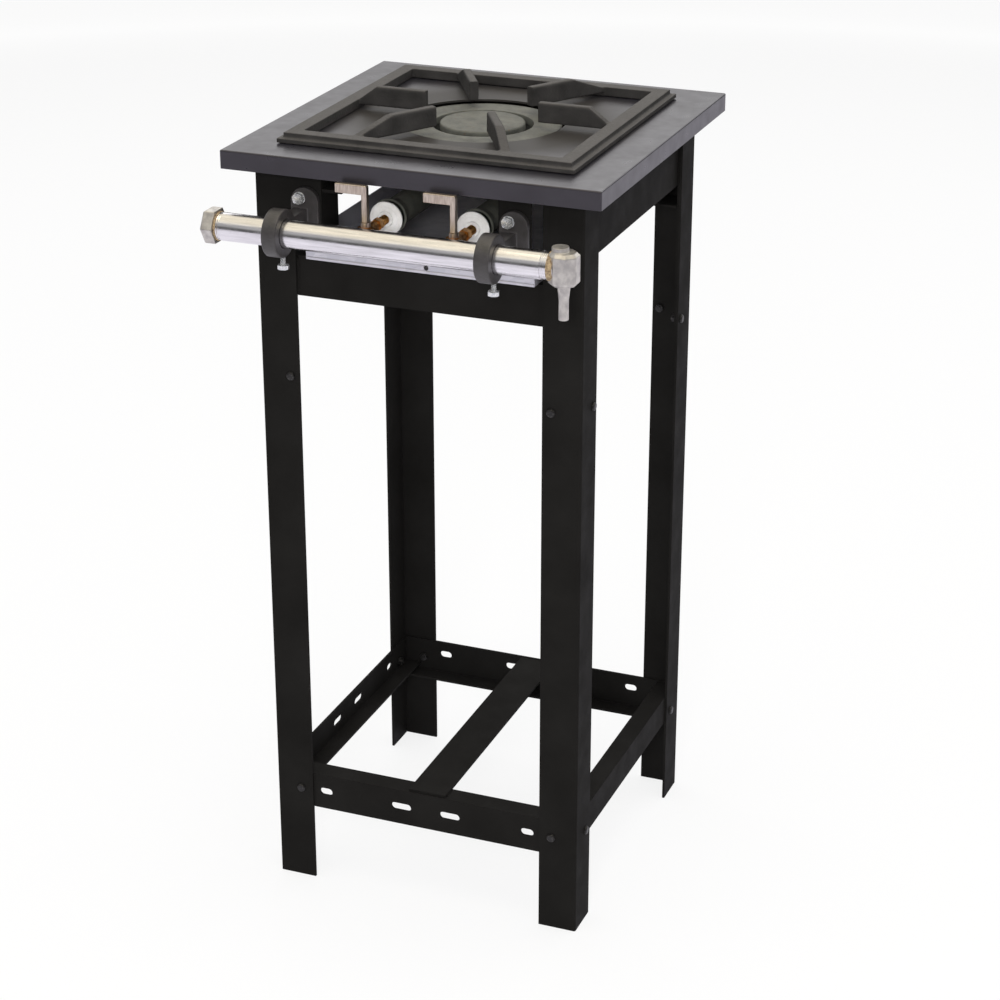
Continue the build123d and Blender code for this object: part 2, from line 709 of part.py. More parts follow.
# Ring cap: closes the annular bowl and leaves the ports round its outer rim.
ring_cap = rod((0, 0, ring_top), (0, 0, 1), cap_thickness, ring_outer + cap_overhang)
ring_cap = fillet(ring_cap.edges().sort_by(Axis.Z)[-1], cap_edge)
ring_cap -= rod((0, 0, ring_top), (0, 0, 1), cap_thickness, ring_inner - cap_overhang)
ring_cap = Pos(0, 0, cap_seat_gap) * ports(ring_cap, ring_outer, ring_top, ring_port_count)
spigot = rod((0, 0, ring_top - cap_spigot), (0, 0, 1), cap_spigot + 2 * cap_seat_gap, ring_outer - 2 * bowl_wall)
spigot -= rod((0, 0, ring_top - cap_spigot), (0, 0, 1), cap_spigot + 2 * cap_seat_gap, ring_inner + 2 * bowl_wall)
save("burner_ring_cap", ring_cap + spigot)

# Centre burner: a round bowl fed by the right mixing tube, which passes under the ring.
centre_path = [
    (right_tube_x, tube_mouth_y, valve_z),
    (right_tube_x, -right_tube_x, valve_z),
    (0, 0, valve_z),
    (0, 0, tube_end),
]
save("burner_centre", burner_bowl(centre_path, centre_radius, 0, centre_height))

# Centre cap: closes the round bowl and leaves the ports round its rim.
centre_cap = rod((0, 0, centre_top), (0, 0, 1), cap_thickness, centre_cap_radius)
centre_cap = fillet(centre_cap.edges().sort_by(Axis.Z)[-1], cap_edge)
centre_cap = Pos(0, 0, cap_seat_gap) * ports(centre_cap, centre_radius, centre_top, centre_port_count)
centre_spigot = rod(
    (0, 0, centre_top - cap_spigot), (0, 0, 1), cap_spigot + 2 * cap_seat_gap, centre_radius - 2 * bowl_wall
)
save("burner_centre_cap", centre_cap + centre_spigot)

# Burner supports: two flat rails from the clamp brackets to the rear apron, and a strap between them.
support_low = burner_seat - support_wall
support_centre = clamp_places["left"] + bracket_shift + bracket_width / 2 + support_width / 2
supports = {
    "left": (support_centre, bracket_back),
    "right": (-support_centre, bracket_front + bracket_return),
}
for side, (x, front) in supports.items():
    rail_bar = block(x - support_width / 2, x + support_width / 2, front, side_in, support_low, burner_seat)
    for lug_place_x, lug_place_y in lug_places:
        rail_bar -= rod(
            (lug_place_x, lug_place_y, support_low), (0, 0, 1), support_wall,
            burner_screw_radius + hole_clearance,
        )
    save(f"burner_support_{side}", rail_bar)
strap_half = abs(support_centre) - support_width / 2
strap = block(-strap_half, strap_half, -strap_width / 2, strap_width / 2, support_low, burner_seat)
strap -= rod((0, 0, support_low), (0, 0, 1), support_wall, tube_radius + strap_gap)
save("burner_strap", strap)

# Burner screws: one through each lug and support rail, with its nut underneath.
burner_screws = []
burner_nuts = []
for x, y in lug_places:
    seat = (x, y, burner_seat + lug_thickness + fastener_gap)
    head = rod(seat, (0, 0, 1), burner_screw_head_height, burner_screw_head_radius)
    grip = lug_thickness + support_wall + nut_height + 1.0
    burner_screws.append(head + rod(seat, (0, 0, -1), grip, burner_screw_radius))
    nut_seat = (x, y, support_low - fastener_gap)
    nut = prism(nut_seat, (0, 0, -1), nut_height, nut_flats)
    burner_nuts.append(nut - rod(nut_seat, (0, 0, -1), nut_height, burner_screw_radius + thread_gap))
save("burner_screws", group(burner_screws))
save("burner_nuts", group(burner_nuts))

# Drip tray: a folded galvanised pan that slides out over the front crossbar.
tray_left = tray_left_gap - leg_edge
tray_right = leg_edge - tray_right_gap
tray_front_y = -half - tray_front_reach
tray_back = half - tray_back_inset
tray = block(tray_left, tray_right, tray_front_y, tray_back, tray_low, tray_low + tray_height)
tray -= block(
    tray_left + tray_wall, tray_right - tray_wall, tray_front_y + tray_wall, tray_back - tray_wall,
    tray_low + tray_wall, tray_low + tray_height,
)
hole_start = (tray_hole_x, tray_front_y, tray_low + tray_hole_rise)
tray -= rod(hole_start, (0, 1, 0), tray_wall, tray_hole_radius)
save("drip_tray", tray)


def finger(stretch):
    """One pot finger along +X: it ramps up from the frame to a flat, and ends upright."""
    root = stretch * (grate_width / 2 - grate_bar / 2)
    low = grate_low + finger_drop
    frame_top = grate_low + grate_height
    inner = stretch * (grate_width / 2 - grate_bar)
    flat_end = finger_tip_radius + finger_flat
    outline = Polyline(
        (finger_tip_radius, low), (finger_tip_radius, finger_top), (flat_end, finger_top),
        (inner, frame_top), (root, frame_top), (root, low), close=True,
    )
    plate = extrude(make_face(Plane.XZ * outline), finger_wall / 2, both=True)
    tops = plate.edges().filter_by(Axis.X).group_by(Axis.Z)[-1]
    return chamfer(tops, finger_edge)


# Grate: a cast square frame with a stepped edge and six fingers that point to the middle.
grate_half = grate_width / 2
grate_top = grate_low + grate_height
step_half = grate_half - grate_step
step_z = grate_low + grate_step_height
grate = block(-grate_half, grate_half, -grate_half, grate_half, grate_low, step_z)
grate += block(-step_half, step_half, -step_half, step_half, step_z, grate_top)
grate_in = grate_half - grate_bar
grate -= block(-grate_in, grate_in, -grate_in, grate_in, grate_low, grate_top)
for number in range(finger_count):
    turn = 360 / finger_count * number
    stretch = 1 / max(abs(cos(radians(turn))), abs(sin(radians(turn))))
    grate += Rot(0, 0, turn) * finger(stretch)
save("pan_grate", grate)
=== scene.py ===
import math

import bpy
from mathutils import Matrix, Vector, noise


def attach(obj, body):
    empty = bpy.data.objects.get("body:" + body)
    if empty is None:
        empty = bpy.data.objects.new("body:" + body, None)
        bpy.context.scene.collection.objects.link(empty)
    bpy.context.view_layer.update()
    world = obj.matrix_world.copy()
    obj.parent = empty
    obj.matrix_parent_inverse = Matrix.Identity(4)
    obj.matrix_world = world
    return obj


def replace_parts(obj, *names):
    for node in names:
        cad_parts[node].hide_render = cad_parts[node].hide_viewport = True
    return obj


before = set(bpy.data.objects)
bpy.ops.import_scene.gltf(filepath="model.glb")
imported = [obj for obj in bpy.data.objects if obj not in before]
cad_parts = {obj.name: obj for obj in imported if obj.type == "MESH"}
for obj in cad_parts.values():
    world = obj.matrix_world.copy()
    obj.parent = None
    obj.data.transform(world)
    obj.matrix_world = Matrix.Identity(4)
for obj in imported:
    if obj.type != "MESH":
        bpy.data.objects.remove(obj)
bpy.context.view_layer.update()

# ---- Legs ------------------------------------------------------------------------------------
# Four legs of 40 mm rolled angle iron, cut square and left bare of feet. They are sprayed with one
# thin coat of black enamel that dries nearly matt.

MM = 0.001                   # one millimetre in the scene's metres
ROLLED_EDGE = 0.35 * MM      # the small round that rolling leaves on a bar's edges
COLOUR_A = 6                 # sockets of a Mix node: its two colours, and the colour that comes out
COLOUR_B = 7
COLOUR_MIXED = 2


def srgb(code):
    """A hex colour as the linear red, green, blue and alpha that a shader takes."""
    channels = [int(code[i:i + 2], 16) / 255 for i in (1, 3, 5)]
    linear = [c / 12.92 if c <= 0.04045 else ((c + 0.055) / 1.055) ** 2.4 for c in channels]
    return (*linear, 1.0)


def bare_material(name):
    """A material with no nodes in it yet."""
    made = bpy.data.materials.new(name)
    made.use_nodes = True
    made.node_tree.nodes.clear()
    return made


def node(material, kind, inputs, output=0, **fields):
    """Adds a shader node, sets its fields and inputs or links them, and returns one of its outputs."""
    made = material.node_tree.nodes.new("ShaderNode" + kind)
    for field, value in fields.items():
        setattr(made, field, value)
    for socket, value in inputs.items():
        if isinstance(value, bpy.types.NodeSocket):
            material.node_tree.links.new(value, made.inputs[socket])
        else:
            made.inputs[socket].default_value = value
    return made.outputs[output] if made.outputs else None


def finish(material, *names):
    """Gives carried-over pieces their finish."""
    for name in names:
        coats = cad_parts[name].data.materials
        coats.clear()
        coats.append(material)


def ease_edges(width, *names):
    """Rounds the edges of carried-over bars and sheets, so that they catch a thin light line."""
    for name in names:
        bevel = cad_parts[name].modifiers.new("eased_edges", "BEVEL")
        bevel.width = width
        bevel.segments = 2
        bevel.limit_method = "ANGLE"
        bevel.angle_limit = math.radians(40)


# Sprayed black alkyd enamel on mild steel, nearly matt: the eye gets a deep black with only a
# faint broad sheen. Its orange peel of about 1.6 mm is drawn at 3 mm, or it wouldn't show.
black_enamel = bare_material("sprayed_black_enamel")
where = node(black_enamel, "TexCoord", {}, "Object")
clouding = node(black_enamel, "TexNoise", {"Vector": where, "Scale": 1 / (70 * MM), "Detail": 3.0})
dullness = node(black_enamel, "TexNoise", {"Vector": where, "Scale": 1 / (22 * MM), "Detail": 3.0})
orange_peel = node(black_enamel, "TexNoise", {"Vector": where, "Scale": 1 / (3 * MM), "Detail": 1.0})
clouding = node(black_enamel, "MapRange", {"Value": clouding, "From Min": 0.3, "From Max": 0.7})
node(black_enamel, "OutputMaterial", {"Surface": node(black_enamel, "BsdfPrincipled", {
    "Base Color": node(black_enamel, "Mix", {
        0: clouding, COLOUR_A: srgb("#1B1A19"), COLOUR_B: srgb("#222120"),
    }, COLOUR_MIXED, data_type="RGBA"),
    "Roughness": node(black_enamel, "MapRange", {
        "Value": dullness, "From Min": 0.3, "From Max": 0.7, "To Min": 0.5, "To Max": 0.62}),
    "Specular IOR Level": 0.02,
    "Normal": node(black_enamel, "Bump", {"Height": orange_peel, "Distance": 0.02 * MM}),
})})
CORNERS = {"front_left": (-1, -1), "front_right": (1, -1), "rear_left": (-1, 1), "rear_right": (1, 1)}
LEGS = [f"leg_{corner}" for corner in CORNERS]
finish(black_enamel, *LEGS)
ease_edges(ROLLED_EDGE, *LEGS)

# ---- Welded head -----------------------------------------------------------------------------
# Short angles, aprons, crossbars and brackets of sheet and bar, welded to each other and under the
# worktop by hand, then sprayed with the legs. The welds are runs of overlapping drops.

ROW_SHIFT = 27.0             # from the middle of the legs to the row's origin, along Y
SHARP_EDGE = 32              # degrees between two faces that leave a sharp edge
WELD_DROP = 3.4              # one drop of a hand-laid weld
STUB_SIDE = 160.8            # weld line on the stubs, from the middle
UNDER_SHEET = 788.6          # weld line under the worktop
STUB_RUNS = ((150, 143), (138, 131))
BRACKET_LINE = -165.8
BRACKET_RUNS = ((-126, -98), (83, 111))
SIDE_RUNS = (                # start, end and width of the welds that both sides have
    ((126.2, -160.9, 648), (126.2, -160.9, 685), 1.3),
    ((127.6, 130, 684.6), (127.6, 158, 684.6), 1.3),
    ((160.6, -120, 708.6), (160.6, -112, 708.6), 1.2),
    ((127.4, 160.8, 740), (127.4, 160.8, 752), 1.2),
)

HEAD = (
    *[f"stub_{corner}" for corner in CORNERS],
    "apron_left", "apron_right", "apron_rear", "crossbar_front", "crossbar_rear",
    "clamp_bracket_left", "clamp_bracket_right",
)
finish(black_enamel, *HEAD)
ease_edges(ROLLED_EDGE, *HEAD)


def at(x, y, z):
    """A place in millimetres from the middle of the legs, on the floor, as metres in the row frame."""
    return Vector((x, y + ROW_SHIFT, z)) * MM


def ring(origin, axis, radius, along, steps=36):
    """One ring of corners about an axis. In millimetres; radius and along may change with the angle."""
    axis = Vector(axis)
    across = axis.orthogonal().normalized()
    aside = axis.cross(across)
    made = []
    for step in range(steps):
        angle = 2 * math.pi * step / steps
        out = radius(angle) if callable(radius) else radius
        forth = along(angle) if callable(along) else along
        sideways = across * math.cos(angle) * out + aside * math.sin(angle) * out
        made.append(origin + (sideways + axis * forth) * MM)
    return made


def skin(rings, hollow=False):
    """Joins rings of corners into a skin, closed at its two ends, or from the last ring to the first."""
    count = len(rings[0])
    corners = [corner for one in rings for corner in one]
    faces = []
    for row in range(len(rings) if hollow else len(rings) - 1):
        low = row * count
        high = (row + 1) % len(rings) * count
        for i in range(count):
            beside = (i + 1) % count
            faces.append((low + i, low + beside, high + beside, high + i))
    if not hollow:
        faces += [tuple(range(count)), tuple(range(len(corners) - count, len(corners)))]
    return corners, faces


def put_piece(name, skins, material, body, sharp=SHARP_EDGE):
    """Makes one piece of several skins, which rides on a body and takes the given finish."""
    corners = []
    faces = []
    for more_corners, more_faces in skins:
        start = len(corners)
        corners += more_corners
        faces += [tuple(start + corner for corner in face) for face in more_faces]
    mesh = bpy.data.meshes.new(name)
    mesh.from_pydata(corners, [], faces)
    mesh.polygons.foreach_set("use_smooth", [True] * len(mesh.polygons))
    mesh.set_sharp_from_angle(angle=math.radians(sharp))
    mesh.materials.append(material)
    piece = bpy.data.objects.new(name, mesh)
    bpy.context.scene.collection.objects.link(piece)
    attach(piece, body)
    return piece


def weld(start, end, width):
    """A weld along an inner corner: its thickness swells and shrinks with each drop."""
    run = end - start
    rings = []
    rows = max(6, round(run.length / MM / (WELD_DROP / 5)))
    for row in range(rows + 1):
        travelled = run.length / MM * row / rows
        swell = 0.72 + 0.28 * abs(math.sin(math.pi * travelled / WELD_DROP))
        swell += 0.12 * noise.noise((start + run * row / rows) / (4 * MM))
        taper = min(1, 0.35 + min(row, rows - row) / 3)
        rings.append(ring(start, run.normalized(), width * swell * taper, travelled, 10))
    return skin(rings)


head_welds = []
for sx, sy in CORNERS.values():
    for start, end in STUB_RUNS:
        head_welds.append(weld(
            at(sx * start, sy * STUB_SIDE, UNDER_SHEET), at(sx * end, sy * STUB_SIDE, UNDER_SHEET), 1.5))
        head_welds.append(weld(
            at(sx * STUB_SIDE, sy * start, UNDER_SHEET), at(sx * STUB_SIDE, sy * end, UNDER_SHEET), 1.5))
for sx in (-1, 1):
    for (x0, y0, z0), (x1, y1, z1), width in SIDE_RUNS:
        head_welds.append(weld(at(sx * x0, y0, z0), at(sx * x1, y1, z1), width))
for left, right in BRACKET_RUNS:
    head_welds.append(weld(
        at(left, BRACKET_LINE, UNDER_SHEET), at(right, BRACKET_LINE, UNDER_SHEET), 1.6))
put_piece("head_welds", head_welds, black_enamel, "stand")

# ---- Bolts of the stand ----------------------------------------------------------------------
# Black pan-headed bolts with plain hexagon nuts inside the legs: two high on each leg, into the
# welded head, and two low, into the shelf bars. Where paint has rubbed off, the steel shows.

NUT_FLATS = 8.0
NUT_HEIGHT = 4.0
HEXAGON_STEPS = 48
CHAMFER_SLOPE = 0.577        # thirty degrees
CHAMFER_FACE = 0.47          # radius of the round face, as a share of the flats
THREAD_STEPS = 32
ROWS_PER_TURN = 8
BOLT_THREAD = (2.15, 2.52, 0.8)      # root, crest and pitch on the 5 mm bolts
BOLT_PROUD = 1.0             # how far a bolt stands out of its nut
SEAT_GAP = 0.05
LEG_HALF = 166.0             # from the middle to the legs' outer faces
GRIP = 5.0                   # leg and inner bar together
LEG_BOLT_PLACE = (31, 564)   # in from the leg's outer edge, and up from the floor
SHELF_BOLT_PLACE = (27, 105)

# Black oxide on steel: a shade lighter and shinier than the enamel, so that each head shows a
# small highlight.
black_oxide = bare_material("black_oxide_steel")
where = node(black_oxide, "TexCoord", {}, "Object")
rub = node(black_oxide, "TexNoise", {"Vector": where, "Scale": 1 / (1.5 * MM), "Detail": 3.0})
node(black_oxide, "OutputMaterial", {"Surface": node(black_oxide, "BsdfPrincipled", {
    "Base Color": node(black_oxide, "Mix", {
        0: node(black_oxide, "MapRange", {"Value": rub, "From Min": 0.5, "From Max": 0.75}),
        COLOUR_A: srgb("#1B1A1A"), COLOUR_B: srgb("#4A4846")}, COLOUR_MIXED, data_type="RGBA"),
    "Roughness": node(black_oxide, "MapRange", {"Value": rub, "To Min": 0.28, "To Max": 0.5}),
    "Metallic": 0.3,
})})
finish(black_oxide, "leg_bolts", "shelf_bolts")


def hexagon(origin, axis, flats, low, high):
    """A hexagon whose corners are turned off at its far face, as on rolled nuts and bolt heads."""
    def reach(angle):
        return flats / 2 / math.cos(angle % (math.pi / 3) - math.pi / 6)

    def shoulder(angle):
        return high - (reach(angle) - flats / 2) * CHAMFER_SLOPE

    rings = [(reach, low), (reach, shoulder), (flats * CHAMFER_FACE, high)]
    return skin([ring(origin, axis, radius, along, HEXAGON_STEPS) for radius, along in rings])


def thread(origin, axis, root, crest, pitch, low, high):
    """A screw thread, whose radius rises from root to crest and falls again with each turn."""
    rings = []
    rows = round((high - low) / pitch * ROWS_PER_TURN)
    for row in range(rows + 1):
        along = low + (high - low) * row / rows

        def radius(angle, along=along):
            return root + (crest - root) * abs((along / pitch + angle / (2 * math.pi)) % 1 * 2 - 1)

        rings.append(ring(origin, axis, radius, along, THREAD_STEPS))
    return skin(rings)


def bolt_ends(inset, height):
    """Nuts inside the legs, each with the threaded end of its bolt."""
    made = []
    place = LEG_HALF - inset
    top = GRIP + NUT_HEIGHT
    for sx, sy in CORNERS.values():
        for origin, inwards in (
            (at(sx * place, sy * LEG_HALF, height), (0, -sy, 0)),
            (at(sx * LEG_HALF, sy * place, height), (-sx, 0, 0)),
        ):
            made.append(hexagon(origin, inwards, NUT_FLATS, GRIP + SEAT_GAP, top))
            made.append(thread(origin, inwards, *BOLT_THREAD, top - 1, top + BOLT_PROUD))
    return made


leg_nuts = put_piece("leg_bolt_nuts", bolt_ends(*LEG_BOLT_PLACE), black_oxide, "stand")
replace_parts(leg_nuts, "leg_nuts")
shelf_nuts = put_piece(
    "shelf_bolt_nuts", bolt_ends(*SHELF_BOLT_PLACE), black_oxide, "stand")
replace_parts(shelf_nuts, "shelf_nuts")

# ---- Shelf frame -----------------------------------------------------------------------------
# Light angle bars bolted inside the legs, three of them with punched slots, and a flat middle bar
# that is tacked down at both ends. All are sprayed black.

SHELF = [f"shelf_bar_{side}" for side in ("front", "right", "rear", "left", "middle")]
finish(black_enamel, *SHELF)
ease_edges(ROLLED_EDGE, *SHELF)
MIDDLE_BAR_EDGES = (-18.6, 21.4)
FRONT_TACK = ((-158, 123.7), (-146, 123.7))      # depth and height of its two ends
REAR_TACK = ((160.6, 112), (160.6, 122))
tacks = []
for start, end in (FRONT_TACK, REAR_TACK):
    for edge in MIDDLE_BAR_EDGES:
        tacks.append(weld(at(edge, *start), at(edge, *end), 1.3))
put_piece("middle_bar_tacks", tacks, black_enamel, "stand")

# ---- Worktop ---------------------------------------------------------------------------------
# One 2 mm steel sheet with a folded rim and a round hole over the burner, enamelled in graphite
# grey that is glossier than the stand. The heat of the burner has dulled it under the grate.

SHEET_FOLD = 0.9 * MM
DULLED_TO = 115 * MM         # how far from the burner the enamel is quite dull
GLOSSY_FROM = 165 * MM

# Semi-gloss graphite enamel: at a low angle the top mirrors the pale room and looks lilac grey,
# and the upright rim stays dark. Its orange peel is drawn at 3 mm, or it wouldn't show.
graphite_enamel = bare_material("graphite_enamel")
where = node(graphite_enamel, "TexCoord", {}, "Object")
clouding = node(graphite_enamel, "TexNoise", {"Vector": where, "Scale": 1 / (45 * MM), "Detail": 4.0})
haze = node(graphite_enamel, "TexNoise", {"Vector": where, "Scale": 1 / (16 * MM), "Detail": 4.0})
peel = node(graphite_enamel, "TexNoise", {"Vector": where, "Scale": 1 / (3 * MM), "Detail": 1.0})
sag = node(graphite_enamel, "TexNoise", {"Vector": where, "Scale": 1 / (110 * MM), "Detail": 0.0})
top_middle = sum((Vector(corner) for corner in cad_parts["worktop"].bound_box), Vector()) / 8
from_middle = node(
    graphite_enamel, "VectorMath", {0: where, 1: top_middle}, "Value", operation="DISTANCE")
dulled = node(graphite_enamel, "MapRange", {
    "Value": from_middle, "From Min": DULLED_TO, "From Max": GLOSSY_FROM, "To Min": 1.0, "To Max": 0.0})
coloured = node(graphite_enamel, "Mix", {
    0: node(graphite_enamel, "MapRange", {"Value": clouding, "From Min": 0.3, "From Max": 0.7}),
    COLOUR_A: srgb("#252428"), COLOUR_B: srgb("#2D2C31")}, COLOUR_MIXED, data_type="RGBA")
glossy = node(graphite_enamel, "MapRange", {
    "Value": haze, "From Min": 0.3, "From Max": 0.7, "To Min": 0.27, "To Max": 0.36})
node(graphite_enamel, "OutputMaterial", {"Surface": node(graphite_enamel, "BsdfPrincipled", {
    "Base Color": node(graphite_enamel, "Mix", {
        0: dulled, COLOUR_A: coloured, COLOUR_B: srgb("#393735")}, COLOUR_MIXED, data_type="RGBA"),
    "Roughness": node(graphite_enamel, "Mix", {0: dulled, 2: glossy, 3: 0.5}, 0, data_type="FLOAT"),
    "Specular IOR Level": node(graphite_enamel, "MapRange", {
        "Value": dulled, "To Min": 0.5, "To Max": 0.16}),
    "IOR": 1.56,
    "Specular Tint": srgb("#F6EEF6"),
    "Normal": node(graphite_enamel, "Bump", {
        "Height": peel, "Distance": 0.02 * MM,
        "Normal": node(graphite_enamel, "Bump", {"Height": sag, "Distance": 0.5 * MM}),
    }),
})})
finish(graphite_enamel, "worktop")
ease_edges(SHEET_FOLD, "worktop")

# ---- Burners ---------------------------------------------------------------------------------
# Grey iron castings from sand moulds: a ring bowl and a centre bowl with their mixing tubes, and
# two loose caps with the flame slots in their rims. They are bare but for a film of oxide.

SAND_GRAIN = 1.6             # the pebbling that moulding sand leaves


def cast_form(*names, grid, rounding, pits):
    """Turns carried-over pieces into castings: edges rounded by the mould and a skin pitted inwards.

    A piece is built again on a grid of so many millimetres, smoothed so many times and pitted so deep.
    """
    sand = bpy.data.textures.new("moulding_sand", "CLOUDS")
    sand.noise_scale = SAND_GRAIN * MM
    sand.noise_depth = 2
    for name in names:
        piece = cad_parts[name]
        mould = piece.modifiers.new("mould", "REMESH")
        mould.mode = "VOXEL"
        mould.voxel_size = grid * MM
        mould.use_smooth_shade = True
        soft = piece.modifiers.new("rounded_by_the_mould", "SMOOTH")
        soft.iterations = rounding
        soft.factor = 0.5
        pitted = piece.modifiers.new("sand_pits", "DISPLACE")
        pitted.texture = sand
        pitted.texture_coords = "LOCAL"
        pitted.strength = pits * MM
        pitted.mid_level = 1.0


# Bare grey cast iron with a thin grey-green oxide: dull, with warm rust freckles a few
# millimetres wide.
bare_iron = bare_material("bare_cast_iron")
where = node(bare_iron, "TexCoord", {}, "Object")
stain = node(bare_iron, "TexNoise", {"Vector": where, "Scale": 1 / (14 * MM), "Detail": 5.0})
freckle = node(bare_iron, "TexNoise", {"Vector": where, "Scale": 1 / (4 * MM), "Detail": 3.0})
grain = node(bare_iron, "TexNoise", {"Vector": where, "Scale": 1 / (SAND_GRAIN * MM), "Detail": 4.0})
oxide = node(bare_iron, "Mix", {
    0: node(bare_iron, "MapRange", {"Value": stain, "From Min": 0.3, "From Max": 0.7}),
    COLOUR_A: srgb("#4C4D48"), COLOUR_B: srgb("#686860")}, COLOUR_MIXED, data_type="RGBA")
node(bare_iron, "OutputMaterial", {"Surface": node(bare_iron, "BsdfPrincipled", {
    "Base Color": node(bare_iron, "Mix", {
        0: node(bare_iron, "MapRange", {
            "Value": freckle, "From Min": 0.6, "From Max": 0.78, "To Max": 0.7}),
        COLOUR_A: oxide, COLOUR_B: srgb("#5A4636")}, COLOUR_MIXED, data_type="RGBA"),
    "Roughness": node(bare_iron, "MapRange", {"Value": grain, "To Min": 0.5, "To Max": 0.8}),
    "Metallic": 0.1,
    "Normal": node(bare_iron, "Bump", {"Height": grain, "Distance": 0.12 * MM}),
})})
finish(bare_iron, "burner_ring", "burner_ring_cap", "burner_centre", "burner_centre_cap")
cast_form("burner_ring", "burner_centre", grid=0.9, rounding=4, pits=0.25)
cast_form("burner_ring_cap", "burner_centre_cap", grid=0.7, rounding=3, pits=0.2)

# ---- Burner supports -------------------------------------------------------------------------
# Two flat bars and a strap of mild steel, sprayed black, that carry the ring bowl by four lugs.
# The lugs are held by zinc-plated screws and nuts.

BOWL_SEAT = 756.5            # underside of both bowls
STRAP_HALF = 73.8
STRAP_WELD = 13
LUG_PLACE = (86, 31)

SUPPORTS = ("burner_support_left", "burner_support_right", "burner_strap")
finish(black_enamel, *SUPPORTS)
ease_edges(ROLLED_EDGE, *SUPPORTS)
strap_welds = []
for sx in (-1, 1):
    start = at(sx * STRAP_HALF, -STRAP_WELD, BOWL_SEAT - 0.1)
    strap_welds.append(weld(start, at(sx * STRAP_HALF, STRAP_WELD, BOWL_SEAT - 0.1), 1.3))
put_piece("strap_welds", strap_welds, black_enamel, "stand")

# Bright zinc plate on steel: pale and sharp in its highlights, with a faint blue passivation.
bright_zinc = bare_material("bright_zinc_plate")
where = node(bright_zinc, "TexCoord", {}, "Object")
plating = node(bright_zinc, "TexNoise", {"Vector": where, "Scale": 1 / (2 * MM), "Detail": 3.0})
node(bright_zinc, "OutputMaterial", {"Surface": node(bright_zinc, "BsdfPrincipled", {
    "Base Color": node(bright_zinc, "Mix", {
        0: node(bright_zinc, "MapRange", {"Value": plating, "From Min": 0.35, "From Max": 0.65}),
        COLOUR_A: srgb("#E9E9E8"), COLOUR_B: srgb("#CDD0D4")}, COLOUR_MIXED, data_type="RGBA"),
    "Roughness": node(bright_zinc, "MapRange", {"Value": plating, "To Min": 0.16, "To Max": 0.36}),
    "Metallic": 0.75,
})})
UP = (0, 0, 1)
DOWN = (0, 0, -1)
# Radius and height of a pan head above the seat, from its edge over the dome into the drive.
PAN_HEAD = ((4.5, 6.02), (4.5, 7.6), (3.9, 8.7), (2.2, 9.02), (1.2, 8.2), (0.2, 8.1))
screw_heads = []
lug_nuts = []
for sx, sy in CORNERS.values():
    lug = at(sx * LUG_PLACE[0], sy * LUG_PLACE[1], 0)
    screw_heads.append(skin([ring(lug, UP, radius, BOWL_SEAT + rise) for radius, rise in PAN_HEAD]))
    lug_nuts.append(hexagon(lug, DOWN, NUT_FLATS, 3.02 - BOWL_SEAT, 7.02 - BOWL_SEAT))
    lug_nuts.append(thread(lug, DOWN, *BOLT_THREAD, 6 - BOWL_SEAT, 8 - BOWL_SEAT))
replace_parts(put_piece("lug_screws", screw_heads, bright_zinc, "stand"), "burner_screws")
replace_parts(put_piece("lug_nuts", lug_nuts, bright_zinc, "stand"), "burner_nuts")

# ---- Grate -----------------------------------------------------------------------------------
# A sand-cast iron grate with a stepped frame and six fingers, painted black at the foundry. The
# sand leaves a pebbled skin and every edge is rounded by the mould. Its upward faces are lighter,
# partly from paint worn thin on top and partly as painted light from above.

# Black foundry paint on a pebbled casting: a soot grey and dull. It is lighter on every upward face,
# partly worn by pans and partly painted light from above.
# The pebbles are drawn at 2.4 mm, or they wouldn't show.
foundry_black = bare_material("foundry_black_on_cast_iron")
where = node(foundry_black, "TexCoord", {}, "Object")
wear = node(foundry_black, "TexNoise", {"Vector": where, "Scale": 1 / (26 * MM), "Detail": 5.0})
pebble = node(foundry_black, "TexNoise", {"Vector": where, "Scale": 1 / (2.4 * MM), "Detail": 4.0})
painted = node(foundry_black, "Mix", {
    0: node(foundry_black, "MapRange", {"Value": wear, "From Min": 0.3, "From Max": 0.72}),
    COLOUR_A: srgb("#2E2D2C"), COLOUR_B: srgb("#413F3E")}, COLOUR_MIXED, data_type="RGBA")
upwards = node(foundry_black, "SeparateXYZ", {
    "Vector": node(foundry_black, "NewGeometry", {}, "Normal")}, "Z")
# Every upward face is lightened: partly paint worn by pans, partly painted light from above.
worn_and_lit_top = node(foundry_black, "MapRange", {
    "Value": upwards, "From Min": 0.55, "From Max": 1.0, "To Max": 0.6})
node(foundry_black, "OutputMaterial", {"Surface": node(foundry_black, "BsdfPrincipled", {
    "Base Color": node(foundry_black, "Mix", {
        0: worn_and_lit_top, COLOUR_A: painted, COLOUR_B: srgb("#575452")}, COLOUR_MIXED, data_type="RGBA"),
    "Roughness": node(foundry_black, "MapRange", {"Value": pebble, "To Min": 0.5, "To Max": 0.75}),
    "Specular IOR Level": 0.2,
    "Normal": node(foundry_black, "Bump", {"Height": pebble, "Distance": 0.3 * MM}),
})})
finish(foundry_black, "pan_grate")
cast_form("pan_grate", grid=1.0, rounding=4, pits=0.35)

# ---- Gas rail --------------------------------------------------------------------------------
# Three-quarter inch galvanised steel pipe, threaded at both ends and made up with brown sealing
# paste. Its zinc is smooth and drawn out along the pipe.

RAIL_Y = -221.0
RAIL_Z = 727.3
PIPE_THREAD = (12.82, 13.3, 1.814)   # fourteen threads to the inch
BARE_THREADS = ((-177.4, -171.4), (146.9, 153.3))
PASTED = ((-177.2, -174.6), (153.4, 159.4))
ALONG = (1, 0, 0)

